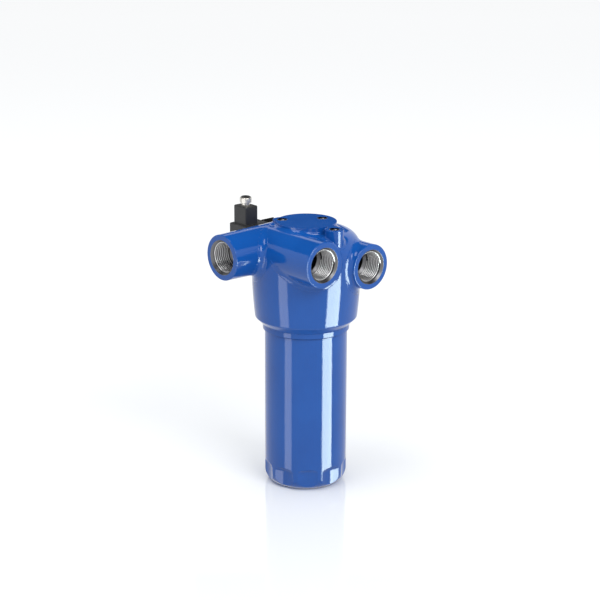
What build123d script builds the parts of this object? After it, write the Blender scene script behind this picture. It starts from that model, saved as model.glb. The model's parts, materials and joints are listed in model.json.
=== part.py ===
from build123d import *
import math
import os

# Return line filter: a cast head with three threaded ports, a screw-on bowl with a filter
# element inside, a bypass valve and an electrical clogging indicator behind the head.
# Millimetres. +Z is up along the bowl's axis; the origin is the centre of the bowl's base.
# The centre and right ports face -Y, the left port faces -X.

# --- Clearances -------------------------------------------------------------------------
fit_gap = 0.10            # radial running clearance of turned and sliding pieces
seat_gap = 0.30           # between pieces that come to rest against each other
seal_gap = 0.02           # between an O-ring and the walls that it seals

# --- Bowl -------------------------------------------------------------------------------
bowl_r = 41.2
bowl_wall = 4.8
bowl_bore_r = bowl_r - bowl_wall
bowl_length = 160.9       # base to the shoulder under the head
bowl_floor = 8.0
bowl_base_fillet = 11.0
bowl_floor_fillet = 6.0
bowl_shoulder_chamfer = 0.8
neck_length = 30.0        # the part of the bowl inside the head
neck_step = 1.8           # how far the thread stands back from the bowl's outside
neck_lip = 1.4            # the neck's bore is narrower than the bowl's by this
neck_bore_r = bowl_bore_r - neck_lip
neck_bore_taper = 2.0
neck_thread_r = bowl_r - neck_step
neck_thread_length = 18.0
neck_seal_step = 1.0
neck_seal_r = neck_thread_r - neck_seal_step
neck_chamfer = 1.0
thread_relief = 1.5
neck_top_z = bowl_length + neck_length

# --- Wrench flutes round the bottom of the bowl -----------------------------------------
flute_count = 10
flute_phase = 15.5        # degrees from +X to the first flute
flute_depth = 2.6
flute_cutter_r = 48.0
flute_straight = 18.0     # height of the flute's parallel part above the base
flute_end_r = 6.1         # run-out radius at the top of a flute

# --- Bowl seal --------------------------------------------------------------------------
seal_section_r = 1.1
seal_groove_width = 3.2
seal_groove_drop = 4.9    # middle of the groove below the top of the neck
seal_groove_z = neck_top_z - seal_groove_drop
spring_post_r = 8.0       # locating boss on the bowl's floor
spring_post_h = 5.0

# --- Head casting -----------------------------------------------------------------------
head_bottom_z = bowl_length + seat_gap
collar_step = 2.1         # how far the collar stands out past the bowl
collar_r = bowl_r + collar_step
collar_height = 5.2
skirt_z = head_bottom_z + collar_height
skirt_step = 3.0          # how far the body's lower edge stands inside its widest part
skirt_chamfer = 7.4
skirt_edge_fillet = 2.5
port_spacing = 61.3       # between the axes of the two front ports
port_r = 22.65
port_side_wall = 0.7      # the body is wider than the two front ports by this, each side
body_r = port_spacing / 2 + port_r + port_side_wall
skirt_r = body_r - skirt_step   # lower edge of the casting's conical body
flank_top_height = 64.8   # heights above the head's lower edge, here and below
body_flank_top = head_bottom_z + flank_top_height   # where the conical flank becomes upright
shoulder_height = 80.8
shoulder_z = head_bottom_z + shoulder_height        # where the rounded shoulder starts
shoulder_r = 19.5
pad_height = 108.4
pad_top = head_bottom_z + pad_height
pad_r = 30.0
pad_lobe_r = 9.2
pad_sink = 14.0           # how far the pad's columns run down into the shoulder
front_boss_drop = 36.0    # length of the column under the front mounting hole

# --- Ports: G1 threads in slightly tapered tubes ----------------------------------------
left_port_draft = 1.0     # degrees
centre_port_draft = 0.4
port_mouth_r = 17.3
port_thread_r = 15.15     # crest radius of the internal thread
port_thread_length = 22.0
port_bore_r = 12.5
port_rim_fillet = 0.9
port_root_fillet = 4.5
front_reach = 5.7         # how far the front ports' faces stand out past the body
front_face_y = -(body_r + front_reach)
left_reach = 32.2
left_face_x = -(body_r + left_reach)
right_port_inset = 0.45
right_port_x = body_r - port_r - right_port_inset
centre_port_x = right_port_x - port_spacing
left_port_y = 26.1
upper_port_height = 81.0
upper_port_z = head_bottom_z + upper_port_height
right_port_height = 68.2
right_port_z = head_bottom_z + right_port_height

# --- Mounting holes in the pad: M8 -------------------------------------------------------
pad_holes = ((-13.9, 20.3), (19.3, -1.9), (-1.6, -42.2))
pad_hole_r = 3.4
pad_hole_mouth_r = 5.2
pad_hole_depth = 12.0

# --- Passages inside the head -----------------------------------------------------------
chamber_lip = 4.0         # the chamber is wider than the thread by this
chamber_floor_height = 33.8
chamber_floor_z = head_bottom_z + chamber_floor_height
chamber_top_height = 60.8
chamber_top_z = head_bottom_z + chamber_top_height
chamber_fillet = 1.4
gallery_r = 16.5
gallery_centre = (-4.0, 4.0)
gallery_bottom_height = 67.2
gallery_bottom_z = head_bottom_z + gallery_bottom_height
gallery_height = 26.0
left_tube_end_x = -14.0
left_bore_end_x = 31.0
right_tube_end_y = -5.0
right_bore_end_y = -8.0
down_passage_r = 12.0
down_passage_inset = 2.9  # its axis stands this far inside the right port's
down_passage_centre = (right_port_x - down_passage_inset, -20.0)
post_r = 17.0             # spigot that carries the element
post_bore_r = 13.0
post_bottom_height = 35.8
post_bottom_z = head_bottom_z + post_bottom_height
post_groove_height = 41.3
post_groove_z = head_bottom_z + post_groove_height

# --- Bypass valve -----------------------------------------------------------------------
bypass_centre = (20.6, 24.5)
bypass_seat_r = 9.0
bypass_seat_drop = 6.0    # the seat reaches this far below the ceiling of the chamber
bypass_seat_low = chamber_top_z - bypass_seat_drop
bypass_seat_flange_r = 10.0
bypass_seat_flange_h = 2.0
bypass_port_r = 5.5
bypass_seat_length = 13.0
bypass_top_z = bypass_seat_low + bypass_seat_length
bypass_pocket_gap = 1.2
bypass_pocket_depth = 1.0
poppet_r = 7.2
poppet_h = 2.4
poppet_stem_r = 1.8
poppet_stem_length = 16.0
cage_r = 8.6
cage_wall = 1.0
cage_height = 21.0
cage_window_w = 7.5
cage_window_h = 9.0
bypass_wire_r = 0.6
bypass_spring_r = 4.4
bypass_turns = 4.0

# --- Filter element ---------------------------------------------------------------------
element_gap = 2.9         # between the element's caps and the bowl's bore
element_r = bowl_bore_r - element_gap
element_bottom_z = 24.0
cap_plate = 2.5
cap_rim = 6.0
cap_rim_wall = 1.0
top_cap_height = 28.8
top_cap_z = head_bottom_z + top_cap_height          # underside of the top cap's plate
collar_wall = 4.2
element_collar_height = 46.3
collar_top_z = head_bottom_z + element_collar_height
pleat_count = 32
pleat_gap = 1.5           # between the folds and the rim of the caps
pleat_outer_r = element_r - pleat_gap
pleat_inner_r = 21.0
pleat_thickness = 1.0
core_r = 19.0
core_wall = 1.0
core_hole_r = 3.0
core_hole_rows = 5
core_hole_columns = 6
element_seal_section_r = 1.5
support_wire_r = 1.2
support_spring_r = 12.0
support_turns = 3.5

# --- Clogging indicator, its axis along -X ----------------------------------------------
indicator_standoff = 14.0   # its axis stands this far behind the body
indicator_y = body_r + indicator_standoff
indicator_height = 83.3
indicator_z = head_bottom_z + indicator_height
boss_r = 11.0
boss_face_x = 16.0
boss_end_x = 40.0
boss_web_y = 36.0
indicator_thread_r = 7.4
indicator_thread_length = 14.0
indicator_hex_flats = 23.0
indicator_piston_r = 3.6
indicator_bore_depth = 18.0
indicator_drilling_r = 2.0
drilling_overshoot = 2.0    # how far the drilling runs past the wall of the bypass bore
drilling_drop = 3.0         # its mouth below the ceiling of the chamber
piston_length = 8.0
piston_magnet_r = 2.6
piston_magnet_length = 3.0
piston_travel = 3.0
indicator_wire_r = 0.4
indicator_turns = 5.0

# --- Electrical connector ---------------------------------------------------------------
connector_width = 26.5
connector_length = 27.6
connector_wall = 2.0
connector_corner_r = 1.6
connector_end_x = -31.0
gasket_thickness = 1.2
gasket_inset = 0.6
terminal_base_size = 25.0
terminal_base_thickness = 3.0
tower_setback = 2.6        # from the connector's outer end
tower_length = 15.8
tower_x0 = connector_end_x + tower_setback
tower_x1 = tower_x0 + tower_length
tower_width = 19.0
tower_height = 18.45        # above the housing
tower_top_z = indicator_z + connector_width / 2 + tower_height
tower_corner_r = 1.4
tower_bore_r = 4.22
pin_width = 6.3
pin_thickness = 0.8
pin_length = 11.0
pin_spacing = 9.0
terminal_block_size = 20.0
terminal_block_length = 13.0
connector_screw_r = 1.5
connector_screw_head_r = 2.9
connector_screw_head_h = 2.0
connector_screw_tip_gap = 0.3

# --- Cable gland on the connector's tower -----------------------------------------------
gland_thread_r = 4.2
gland_neck_r = 4.4
gland_bore_r = 3.2
gland_stub_length = 6.0
gland_neck_height = 3.0
gland_flats = 11.6
gland_nut_r = 6.1
gland_nut_height = 5.4
gland_nut_gap = 0.3
gland_nut_wall = 1.0
gland_nut_mouth_r = 4.3
gland_nut_edge_r = 1.6
gland_male_r = 4.9
gland_male_height = 3.9
gland_seal_bore_r = 2.2
gland_seal_height = 1.7
gland_washer_height = 0.45
gland_washer_gap = 0.15

# --- Derived places ---------------------------------------------------------------------
thread_bore_r = neck_thread_r + fit_gap
thread_bore_top_z = bowl_length + neck_thread_length + thread_relief
seal_bore_r = neck_seal_r + 2 * fit_gap
chamber_r = neck_thread_r + fit_gap + chamber_lip
seal_groove_floor_r = seal_bore_r - 2 * (seal_section_r + seal_gap)
shoulder_centre_r = body_r - shoulder_r
element_top_z = top_cap_z + cap_plate
flange_x = connector_end_x + connector_length
indicator_hex_x0 = flange_x + gasket_thickness + terminal_base_thickness


def cylinder_between(start, end, radius):
    """A round bar of the given radius from one point to another."""
    a = Vector(*start)
    b = Vector(*end)
    plane = Plane(origin=a, z_dir=b - a)
    return extrude(plane * Circle(radius), (b - a).length)


def tube(radius, bore, z0, z1, centre=(0, 0)):
    """An upright tube between two heights."""
    ring = Circle(radius) - Circle(bore)
    return Pos(centre[0], centre[1], z0) * extrude(ring, z1 - z0)


def rod(radius, z0, z1, centre=(0, 0)):
    """An upright cylinder between two heights."""
    return Pos(centre[0], centre[1], z0) * extrude(Circle(radius), z1 - z0)


def coil(radius, wire_r, z0, z1, turns, centre=(0, 0)):
    """A helical spring of round wire that fills the height from z0 to z1."""
    height = z1 - z0 - 2 * wire_r
    path = Helix(pitch=height / turns, height=height, radius=radius)
    section = Plane(origin=path @ 0, z_dir=path % 0) * Circle(wire_r)
    spring = sweep(section, path=path, is_frenet=True)
    return Pos(centre[0], centre[1], z0 + wire_r) * spring


def torus_ring(radius, section_r, z, centre=(0, 0)):
    """An O-ring lying level at height z."""
    return Pos(centre[0], centre[1], z) * Torus(radius, section_r)


def along_x(shape, x, y=indicator_y, z=indicator_z):
    """Turns a shape built along +Z so that it runs along +X from the given point."""
    return Pos(x, y, z) * Rot(0, 90, 0) * shape


# --- Bowl -------------------------------------------------------------------------------
def make_bowl():
    """Cup with a threaded neck, a groove for its seal and wrench flutes at the bottom."""
    outline = Polyline(
        (0, 0),
        (bowl_r, 0),
        (bowl_r, bowl_length),
        (neck_thread_r, bowl_length),
        (neck_thread_r, bowl_length + neck_thread_length),
        (neck_seal_r, bowl_length + neck_thread_length + thread_relief),
        (neck_seal_r, neck_top_z),
        (neck_bore_r, neck_top_z),
        (neck_bore_r, bowl_length - neck_bore_taper),
        (bowl_bore_r, bowl_length - 2 * neck_bore_taper),
        (bowl_bore_r, bowl_floor),
        (spring_post_r, bowl_floor),
        (spring_post_r, bowl_floor + spring_post_h),
        (0, bowl_floor + spring_post_h),
        (0, 0),
    )
    section = make_face(outline)

    def corner(r, z):
        return section.vertices().sort_by_distance(Vector(r, z, 0))[0]

    section = fillet(corner(bowl_r, 0), bowl_base_fillet)
    section = fillet(corner(bowl_bore_r, bowl_floor), bowl_floor_fillet)
    section = chamfer(corner(bowl_r, bowl_length), bowl_shoulder_chamfer)
    section = chamfer(corner(neck_seal_r, neck_top_z), neck_chamfer)
    section = chamfer(corner(spring_post_r, bowl_floor + spring_post_h), neck_chamfer)
    cup = revolve(Plane.XZ * section, Axis.Z)
    groove = tube(
        neck_thread_r, seal_groove_floor_r,
        seal_groove_z - seal_groove_width / 2, seal_groove_z + seal_groove_width / 2,
    )
    cutter = Cylinder(
        flute_cutter_r, flute_straight + flute_end_r + bowl_base_fillet,
        align=(Align.CENTER, Align.CENTER, Align.MIN),
    )
    cutter = fillet(cutter.edges().group_by(Axis.Z)[-1], flute_end_r)
    cutter_x = bowl_r - flute_depth + flute_cutter_r
    flutes = [
        Rot(0, 0, flute_phase + 360 / flute_count * i) * Pos(cutter_x, 0, -bowl_base_fillet) * cutter
        for i in range(flute_count)
    ]
    return cup - groove - flutes


def make_bowl_seal():
    """O-ring between the bowl's neck and the head's bore."""
    middle = (seal_bore_r + seal_groove_floor_r) / 2
    return torus_ring(middle, seal_section_r, seal_groove_z)


# --- Head casting -----------------------------------------------------------------------
def head_body():
    """Conical body of the casting with its lower collar and its rounded shoulder."""
    skirt_top = skirt_z + skirt_chamfer
    flank_mid = (skirt_top + body_flank_top) / 2
    flank_rise = body_flank_top - skirt_top
    flank_sag = (body_r - skirt_r) * ((body_flank_top - flank_mid) / flank_rise) ** 2
    shoulder_top = shoulder_z + shoulder_r
    half = math.sqrt(0.5)
    lines = Polyline(
        (0, shoulder_top),
        (0, head_bottom_z),
        (collar_r, head_bottom_z),
        (collar_r, skirt_z),
        (skirt_r - skirt_chamfer, skirt_z),
        (skirt_r, skirt_top),
    )
    flank = ThreePointArc((skirt_r, skirt_top), (body_r - flank_sag, flank_mid), (body_r, body_flank_top))
    upright = Line((body_r, body_flank_top), (body_r, shoulder_z))
    shoulder = ThreePointArc(
        (body_r, shoulder_z),
        (shoulder_centre_r + shoulder_r * half, shoulder_z + shoulder_r * half),
        (shoulder_centre_r, shoulder_top),
    )
    top = Line((shoulder_centre_r, shoulder_top), (0, shoulder_top))
    section = make_face([lines, flank, upright, shoulder, top])
    edge = section.vertices().sort_by_distance(Vector(skirt_r, skirt_top, 0))[0]
    section = fillet(edge, skirt_edge_fillet)
    return revolve(Plane.XZ * section, Axis.Z)


def port_tube(length, draft):
    """Tapered tube along +Z from its machined face, closed by a round end inside the body."""
    root_r = port_r + length * math.tan(math.radians(draft))
    solid = extrude(Circle(port_r), length, taper=-draft)
    solid = fillet(solid.edges().group_by(Axis.Z)[0], port_rim_fillet)
    return solid + Pos(0, 0, length) * Sphere(root_r)


def port_cut(length):
    """Mouth chamfer, thread core and bore of one port along +Z from its face."""
    chamfer_depth = port_mouth_r - port_thread_r
    mouth = Cone(
        port_mouth_r, port_thread_r, chamfer_depth, align=(Align.CENTER, Align.CENTER, Align.MIN)
    )
    core = extrude(Circle(port_thread_r), port_thread_length)
    step = port_thread_r - port_bore_r
    run_out = Pos(0, 0, port_thread_length) * Cone(
        port_thread_r, port_bore_r, step, align=(Align.CENTER, Align.CENTER, Align.MIN)
    )
    bore = extrude(Circle(port_bore_r), length)
    return mouth + core + run_out + bore


def port_places():
    """Location, tube length, draft and bore length of the centre, right and left ports."""
    back = Rot(-90, 0, 0)
    right = Rot(0, 90, 0)
    return (
        (
            Pos(centre_port_x, front_face_y, upper_port_z) * back,
            left_port_y - front_face_y, centre_port_draft, left_port_y - front_face_y,
        ),
        (
            Pos(right_port_x, front_face_y, right_port_z) * back,
            right_tube_end_y - front_face_y, 0, right_bore_end_y - front_face_y,
        ),
        (
            Pos(left_face_x, left_port_y, upper_port_z) * right,
            left_tube_end_x - left_face_x, left_port_draft, left_bore_end_x - left_face_x,
        ),
    )


def mounting_pad():
    """Flat pad on top of the head with a lobe round each mounting hole."""
    plan = Circle(pad_r)
    for x, y in pad_holes:
        lobe = Pos(x, y) * Circle(pad_lobe_r)
        plan += lobe
    front_x, front_y = pad_holes[-1]
    bridge_angle = math.degrees(math.atan2(front_y, front_x))
    reach = math.hypot(front_x, front_y)
    bridge = Rot(0, 0, bridge_angle) * Pos(reach / 2, pad_lobe_r / 2) * Rectangle(reach, pad_lobe_r)
    plan += bridge
    shoulder_top = shoulder_z + shoulder_r
    pad = Pos(0, 0, shoulder_top - pad_sink) * extrude(plan, pad_top - shoulder_top + pad_sink)
    column = rod(pad_lobe_r, pad_top - front_boss_drop, pad_top, pad_holes[-1])
    return pad + column


def indicator_boss():
    """Cast boss at the back of the head that the indicator screws into."""
    plan = Pos(indicator_y, indicator_z) * Circle(boss_r)
    web = Pos((indicator_y + boss_web_y) / 2, indicator_z)
    plan += web * Rectangle(indicator_y - boss_web_y, 2 * boss_r)
    return Pos(boss_face_x, 0, 0) * extrude(Plane.YZ * plan, boss_end_x - boss_face_x)


def blended(base, addition, radius):
    """Adds a tube or boss to the casting and rounds the inner corner where they meet."""
    result = base + addition
    seam = new_edges(base, addition, combined=result)
    return fillet(seam, radius)


def head_cavities():
    """Everything that is bored out of the casting."""
    cuts = [place * port_cut(bore) for place, length, draft, bore in port_places()]
    cuts.append(rod(thread_bore_r, head_bottom_z, thread_bore_top_z))
    cuts.append(rod(seal_bore_r, head_bottom_z, chamber_floor_z))
    chamber = rod(chamber_r, chamber_floor_z, chamber_top_z)
    chamber = fillet(chamber.edges().group_by(Axis.Z)[-1], chamber_fillet)
    post = rod(post_r, post_bottom_z, chamber_top_z)
    groove_r = post_r + fit_gap - 2 * element_seal_section_r
    groove_half = element_seal_section_r + seat_gap
    post -= tube(post_r + seat_gap, groove_r, post_groove_z - groove_half, post_groove_z + groove_half)
    cuts.append(chamber - post)
    cuts.append(rod(post_bore_r, post_bottom_z, upper_port_z))
    cuts.append(rod(gallery_r, gallery_bottom_z, gallery_bottom_z + gallery_height, gallery_centre))
    cuts.append(rod(down_passage_r, chamber_top_z - seat_gap, right_port_z, down_passage_centre))
    cuts.append(rod(bypass_seat_r, chamber_top_z - seat_gap, bypass_top_z, bypass_centre))
    pocket_low = bypass_top_z - bypass_pocket_depth
    pocket_top = bypass_top_z + cage_height + bypass_pocket_gap
    cuts.append(rod(cage_r + bypass_pocket_gap, pocket_low, pocket_top, bypass_centre))
    for x, y in pad_holes:
        cuts.append(rod(pad_hole_r, pad_top - pad_hole_depth, pad_top, (x, y)))
        sink = pad_hole_mouth_r - pad_hole_r
        cone = Cone(pad_hole_r, pad_hole_mouth_r, sink, align=(Align.CENTER, Align.CENTER, Align.MIN))
        cuts.append(Pos(x, y, pad_top - sink) * cone)
    socket = extrude(Circle(indicator_thread_r), indicator_thread_length + seat_gap)
    cuts.append(along_x(socket, boss_face_x))
    drill_start = (boss_face_x + indicator_thread_length, indicator_y, indicator_z)
    drill_end_y = bypass_centre[1] + bypass_seat_r + drilling_overshoot
    drill_end = (bypass_centre[0], drill_end_y, chamber_top_z - drilling_drop)
    cuts.append(cylinder_between(drill_start, drill_end, indicator_drilling_r))
    return cuts


def make_head():
    """The cast head: body, three port tubes, indicator boss and mounting pad, then the bores."""
    centre, right, left = [
        place * port_tube(length, draft) for place, length, draft, bore in port_places()
    ]
    head = blended(head_body(), right, port_root_fillet)
    head = blended(head, centre, port_root_fillet)
    head = blended(head, left, port_root_fillet)
    head += indicator_boss()
    head += mounting_pad()
    for cut in head_cavities():
        head -= cut
    return head


# --- Bypass valve -----------------------------------------------------------------------
def make_bypass_seat():
    """Turned seat pressed into the ceiling of the chamber."""
    body = rod(bypass_seat_r - seal_gap, bypass_seat_low, bypass_top_z, bypass_centre)
    flange_top = chamber_top_z - seal_gap
    flange = rod(bypass_seat_flange_r, flange_top - bypass_seat_flange_h, flange_top, bypass_centre)
    return body + flange - rod(bypass_port_r, bypass_seat_low, bypass_top_z, bypass_centre)


def make_bypass_poppet():
    """Disc with a guiding stem; it lifts off its seat when the element is clogged."""
    low = bypass_top_z + seal_gap
    disc = rod(poppet_r, low, low + poppet_h, bypass_centre)
    disc = chamfer(disc.edges().group_by(Axis.Z)[-1], cage_wall / 2)
    stem = rod(poppet_stem_r, low + poppet_h, low + poppet_h + poppet_stem_length, bypass_centre)
    return disc + stem


def make_bypass_cage():
    """Windowed cage that guides the stem and carries the spring."""
    top = bypass_top_z + cage_height
    cage = tube(cage_r, cage_r - cage_wall, bypass_top_z + seal_gap, top, bypass_centre)
    lid = tube(cage_r, poppet_stem_r + fit_gap, top - cage_wall, top, bypass_centre)
    window_z = bypass_top_z + cage_height / 2 - cage_wall
    centre = Pos(bypass_centre[0], bypass_centre[1], window_z)
    window = centre * Box(4 * cage_r, cage_window_w, cage_window_h)
    cross_window = centre * Box(cage_window_w, 4 * cage_r, cage_window_h)
    return cage + lid - window - cross_window


def make_bypass_spring():
    """Coil between the poppet and the lid of the cage."""
    low = bypass_top_z + seal_gap + poppet_h
    high = bypass_top_z + cage_height - cage_wall
    return coil(bypass_spring_r, bypass_wire_r, low, high, bypass_turns, bypass_centre)


# --- Filter element ---------------------------------------------------------------------
def make_top_cap():
    """Upper end cap with the collar that slides over the head's spigot."""
    inner = post_r + fit_gap
    plate = tube(element_r, inner, top_cap_z, element_top_z)
    collar = tube(inner + collar_wall, inner, element_top_z, collar_top_z)
    rim = tube(element_r, element_r - cap_rim_wall, top_cap_z - cap_rim, top_cap_z)
    return plate + collar + rim


def make_bottom_cap():
    """Closed lower end cap with a locating ring for the support spring."""
    plate = rod(element_r, element_bottom_z, element_bottom_z + cap_plate)
    rim_top = element_bottom_z + cap_plate + cap_rim
    rim = tube(element_r, element_r - cap_rim_wall, element_bottom_z + cap_plate, rim_top)
    return plate + rim


def make_media():
    """Pleated filter media as one folded ring."""
    outer = []
    inner = []
    for i in range(2 * pleat_count):
        angle = math.pi * i / pleat_count
        crest = i % 2 == 0
        outer_r = pleat_outer_r if crest else pleat_inner_r + pleat_thickness
        inner_r = pleat_outer_r - pleat_thickness if crest else pleat_inner_r
        outer.append((outer_r * math.cos(angle), outer_r * math.sin(angle)))
        inner.append((inner_r * math.cos(angle), inner_r * math.sin(angle)))
    ring = make_face(Polyline(*outer, close=True)) - make_face(Polyline(*inner, close=True))
    low = element_bottom_z + cap_plate
    return Pos(0, 0, low) * extrude(ring, top_cap_z - low)


def make_core():
    """Perforated support tube inside the pleats."""
    low = element_bottom_z + cap_plate
    core = tube(core_r, core_r - core_wall, low, top_cap_z)
    row_step = (top_cap_z - low) / core_hole_rows
    for row in range(core_hole_rows):
        for column in range(core_hole_columns):
            turn = 360 / core_hole_columns * (column + 0.5 * (row % 2))
            hole = Rot(0, 90, 0) * extrude(Circle(core_hole_r), 2 * core_r)
            core -= Rot(0, 0, turn) * Pos(0, 0, low + (row + 0.5) * row_step) * hole
    return core


def make_element_seal():
    """O-ring between the element's collar and the spigot."""
    inner = post_r + fit_gap - element_seal_section_r
    return torus_ring(inner, element_seal_section_r - seal_gap, post_groove_z)


def make_support_spring():
    """Spring on the bowl's floor that presses the element up."""
    return coil(support_spring_r, support_wire_r, bowl_floor, element_bottom_z - seat_gap, support_turns)


# --- Clogging indicator -----------------------------------------------------------------
def make_indicator_body():
    """Hexagonal body with a threaded stem and the bore of its piston."""
    hex_r = indicator_hex_flats / math.sqrt(3)
    hexagon = extrude(RegularPolygon(hex_r, 6), boss_face_x - indicator_hex_x0 - seal_gap)
    stem = extrude(
        Circle(indicator_thread_r - seal_gap), indicator_thread_length + boss_face_x - indicator_hex_x0
    )
    body = along_x(hexagon + stem, indicator_hex_x0)
    end_x = boss_face_x + indicator_thread_length
    bore = extrude(Circle(indicator_piston_r + fit_gap), indicator_bore_depth)
    return body - along_x(bore, end_x - indicator_bore_depth)


def piston_face_x():
    """Where the piston's pressure face lies at rest."""
    return boss_face_x + indicator_thread_length - seat_gap


def make_indicator_piston():
    """Piston with a magnet at its inner end."""
    body = extrude(Circle(indicator_piston_r), piston_length)
    magnet = extrude(Circle(piston_magnet_r), piston_magnet_length)
    face = piston_face_x()
    piston = along_x(body, face - piston_length)
    return piston + along_x(magnet, face - piston_length - piston_magnet_length)


def make_indicator_spring():
    """Return spring of the piston, drawn at its compressed length to leave the piston's travel."""
    high = piston_face_x() - piston_length - piston_travel - seat_gap
    low = boss_face_x + indicator_thread_length - indicator_bore_depth
    spring = coil(
        piston_magnet_r + indicator_wire_r + fit_gap, indicator_wire_r, 0, high - low, indicator_turns
    )
    return along_x(spring, low)


def make_terminal_base():
    """Square plastic base that carries the contact pins."""
    plate = extrude(
        RectangleRounded(terminal_base_size, terminal_base_size, connector_corner_r),
        terminal_base_thickness,
    )
    return along_x(plate, flange_x + gasket_thickness) - connector_screw_hole()


def connector_screw_hole():
    """Clearance hole of the screw through connector, gasket and base."""
    radius = connector_screw_r + fit_gap
    start = connector_end_x - connector_wall
    end = indicator_hex_x0 + connector_wall
    return along_x(extrude(Circle(radius), end - start), start)


def make_gasket():
    """Flat rubber gasket between the connector and its base."""
    size = terminal_base_size - gasket_inset
    plate = extrude(RectangleRounded(size, size, connector_corner_r), gasket_thickness)
    inner = terminal_block_size - gasket_inset
    hole = extrude(RectangleRounded(inner, inner, connector_corner_r), gasket_thickness)
    return along_x(plate - hole, flange_x)


def make_contact_pins():
    """Flat contact blades on the base: two power pins and an earth pin."""
    base_x = flange_x + gasket_thickness
    pins = []
    for dy, dz, turn in ((-1, 0, 0), (1, 0, 0), (0, -1, 90)):
        blade = Box(
            pin_length, pin_thickness, pin_width, align=(Align.MAX, Align.CENTER, Align.CENTER)
        )
        place = Pos(base_x, indicator_y + dy * pin_spacing, indicator_z + dz * pin_spacing)
        pins.append(place * Rot(turn, 0, 0) * blade)
    return Compound(children=pins)


def connector_cavity():
    """Hollow of the connector's housing, open towards the base."""
    inner = connector_width - 2 * connector_wall
    depth = connector_length - connector_wall
    hollow = extrude(RectangleRounded(inner, inner, connector_corner_r), depth)
    return along_x(hollow, flange_x - depth)


def make_connector_housing():
    """Square housing with an upright tower for the cable gland."""
    block = extrude(
        RectangleRounded(connector_width, connector_width, connector_corner_r), connector_length
    )
    block = along_x(block, connector_end_x)
    block = chamfer(block.edges().group_by(Axis.X)[0], connector_corner_r / 2)
    tower = extrude(
        RectangleRounded(tower_length, tower_width, tower_corner_r), tower_top_z - indicator_z
    )
    tower = chamfer(tower.edges().group_by(Axis.Z)[-1], tower_corner_r / 2)
    tower_x = (tower_x0 + tower_x1) / 2
    tower = Pos(tower_x, indicator_y, indicator_z) * tower
    entry = rod(tower_bore_r, indicator_z, tower_top_z, (tower_x, indicator_y))
    return block + tower - connector_cavity() - entry - connector_screw_hole()


def make_terminal_block():
    """Insert in the housing that holds the wire clamps and receives the pins."""
    length = terminal_block_length
    block = extrude(RectangleRounded(terminal_block_size, terminal_block_size, connector_corner_r), length)
    block = along_x(block, flange_x - length - seat_gap)
    slot_size = 2 * fit_gap
    for dy, dz, turn in ((-1, 0, 0), (1, 0, 0), (0, -1, 90)):
        slot = Box(
            2 * pin_length, pin_thickness + slot_size, pin_width + slot_size,
            align=(Align.CENTER, Align.CENTER, Align.CENTER),
        )
        place = Pos(flange_x, indicator_y + dy * pin_spacing, indicator_z + dz * pin_spacing)
        block -= place * Rot(turn, 0, 0) * slot
    return block - connector_screw_hole()


def make_connector_screw():
    """Long slotted screw that holds the connector on its base."""
    head = extrude(Circle(connector_screw_head_r), connector_screw_head_h)
    slot = Pos(0, 0, connector_screw_head_h / 4) * Box(
        3 * connector_screw_head_r, connector_screw_head_r / 3, connector_screw_head_h / 2
    )
    head_x = connector_end_x - connector_screw_head_h - seal_gap
    shank_start = head_x + connector_screw_head_h / 2
    shank_length = indicator_hex_x0 - connector_screw_tip_gap - shank_start
    shank = extrude(Circle(connector_screw_r), shank_length)
    return along_x(head - slot, head_x) + along_x(shank, shank_start)


# --- Cable gland ------------------------------------------------------------------------
def gland_axis():
    """Plan position of the gland: the middle of the tower."""
    return ((tower_x0 + tower_x1) / 2, indicator_y)


def gland_levels():
    """Heights of the gland's hexagon, its upper thread and its nut."""
    hex_low = tower_top_z + gland_neck_height
    nut_low = hex_low + gland_nut_gap
    return hex_low, nut_low, nut_low + gland_nut_height


def make_gland_body():
    """Nickel-plated gland body: stub in the tower, neck and upper thread."""
    centre = gland_axis()
    hex_low, nut_low, nut_top = gland_levels()
    stub = rod(gland_thread_r, tower_top_z - gland_stub_length, tower_top_z, centre)
    neck = rod(gland_neck_r, tower_top_z + seal_gap, hex_low, centre)
    male = rod(gland_male_r - fit_gap, hex_low, hex_low + gland_male_height, centre)
    bore = rod(gland_bore_r, tower_top_z - gland_stub_length, nut_top, centre)
    joint_ring = rod(gland_thread_r, tower_top_z, tower_top_z + seal_gap, centre)
    return stub + joint_ring + neck + male - bore


def make_gland_nut():
    """Compression nut with a rounded top and wrench flats."""
    centre = gland_axis()
    nut_low, nut_top = gland_levels()[1:]
    round_nut = rod(gland_nut_r, nut_low, nut_top, centre)
    round_nut = fillet(round_nut.edges().group_by(Axis.Z)[-1], gland_nut_edge_r)
    hexagon = Pos(centre[0], centre[1], nut_low) * extrude(
        RegularPolygon(gland_flats / math.sqrt(3), 6), nut_top - nut_low
    )
    cavity = rod(gland_male_r, nut_low, nut_top - gland_nut_wall, centre)
    return (round_nut & hexagon) - cavity - rod(gland_nut_mouth_r, nut_low, nut_top, centre)


def gland_washer_z():
    """Underside of the thrust washer."""
    hex_low = gland_levels()[0]
    return hex_low + gland_male_height + gland_washer_gap


def make_gland_washer():
    """Thrust washer between the gland's body and its grommet."""
    low = gland_washer_z()
    return tube(gland_male_r - fit_gap, gland_bore_r, low, low + gland_washer_height, gland_axis())


def make_gland_seal():
    """Rubber grommet that grips a cable."""
    low = gland_washer_z() + gland_washer_height
    radius = gland_nut_mouth_r - 2 * fit_gap
    return tube(radius, gland_seal_bore_r, low, low + gland_seal_height, gland_axis())


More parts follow.
